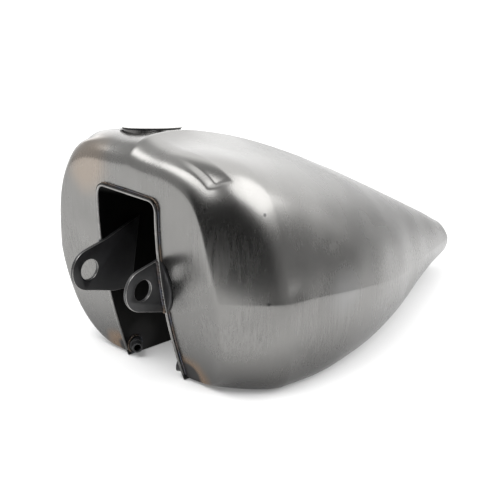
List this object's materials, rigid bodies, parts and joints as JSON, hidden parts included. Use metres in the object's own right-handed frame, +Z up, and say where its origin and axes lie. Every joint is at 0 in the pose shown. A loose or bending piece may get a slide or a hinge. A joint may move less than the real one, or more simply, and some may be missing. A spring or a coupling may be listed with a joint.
{
  "type": "motorcycle fuel tank",
  "caption": "Welded bare-steel motorcycle fuel tank with a frame tunnel, front mounting ears, a rear bracket and a push-in filler cap.",
  "frame": {"origin": "centre of the front mounting axis, midway between the two ears", "axes": "+X to the rider's left along the front mounting axis, +Y to the rear of the motorcycle, +Z up"},
  "size_m": [0.254, 0.461, 0.2124],
  "materials": {
    "bare_steel": "bare pressed sheet steel, semi-gloss, with light scratches",
    "weld_steel": "weld bead, ground or as laid",
    "dark_steel": "blackened steel plate, satin",
    "machined_steel": "turned bare steel",
    "seal_rubber": "matt black rubber",
    "white_plastic": "moulded white plastic"
  },
  "bodies": {
    "tank": {"bottom_seam_welds": "weld_steel", "bracket_welds": "weld_steel", "centre_seam_weld": "weld_steel", "ear_welds": "weld_steel", "filler_neck": "machined_steel", "frame_tunnel": "bare_steel", "front_panel": "bare_steel", "front_seam_weld": "weld_steel", "fuel_outlet_bung": "machined_steel", "left_bottom_pan": "bare_steel", "left_crossover_nipple": "dark_steel", "left_ear_flange": "dark_steel", "left_front_ear": "dark_steel", "left_side_shell": "bare_steel", "nipple_welds": "weld_steel", "outlet_weld": "weld_steel", "rear_mount_bracket": "dark_steel", "right_bottom_pan": "bare_steel", "right_crossover_nipple": "dark_steel", "right_ear_flange": "dark_steel", "right_front_ear": "dark_steel", "right_side_shell": "bare_steel", "tail_end_plate": "bare_steel", "tunnel_mouth_weld": "weld_steel"},
    "cap_seal": {"filler_gasket": "seal_rubber"},
    "cap": {"filler_cap": "white_plastic"}
  },
  "joints": [
    {"name": "cap_pull", "type": "slide", "parent": "tank", "child": "cap_seal", "axis": [-0.1416, 0.1172, 0.983], "range_m": [0, 0.03]},
    {"name": "cap_turn", "type": "hinge", "parent": "cap_seal", "child": "cap", "pos_m": [-0.03333, 0.07077, 0.10985], "axis": [-0.1416, 0.1172, 0.983], "continuous": true}
  ]
}
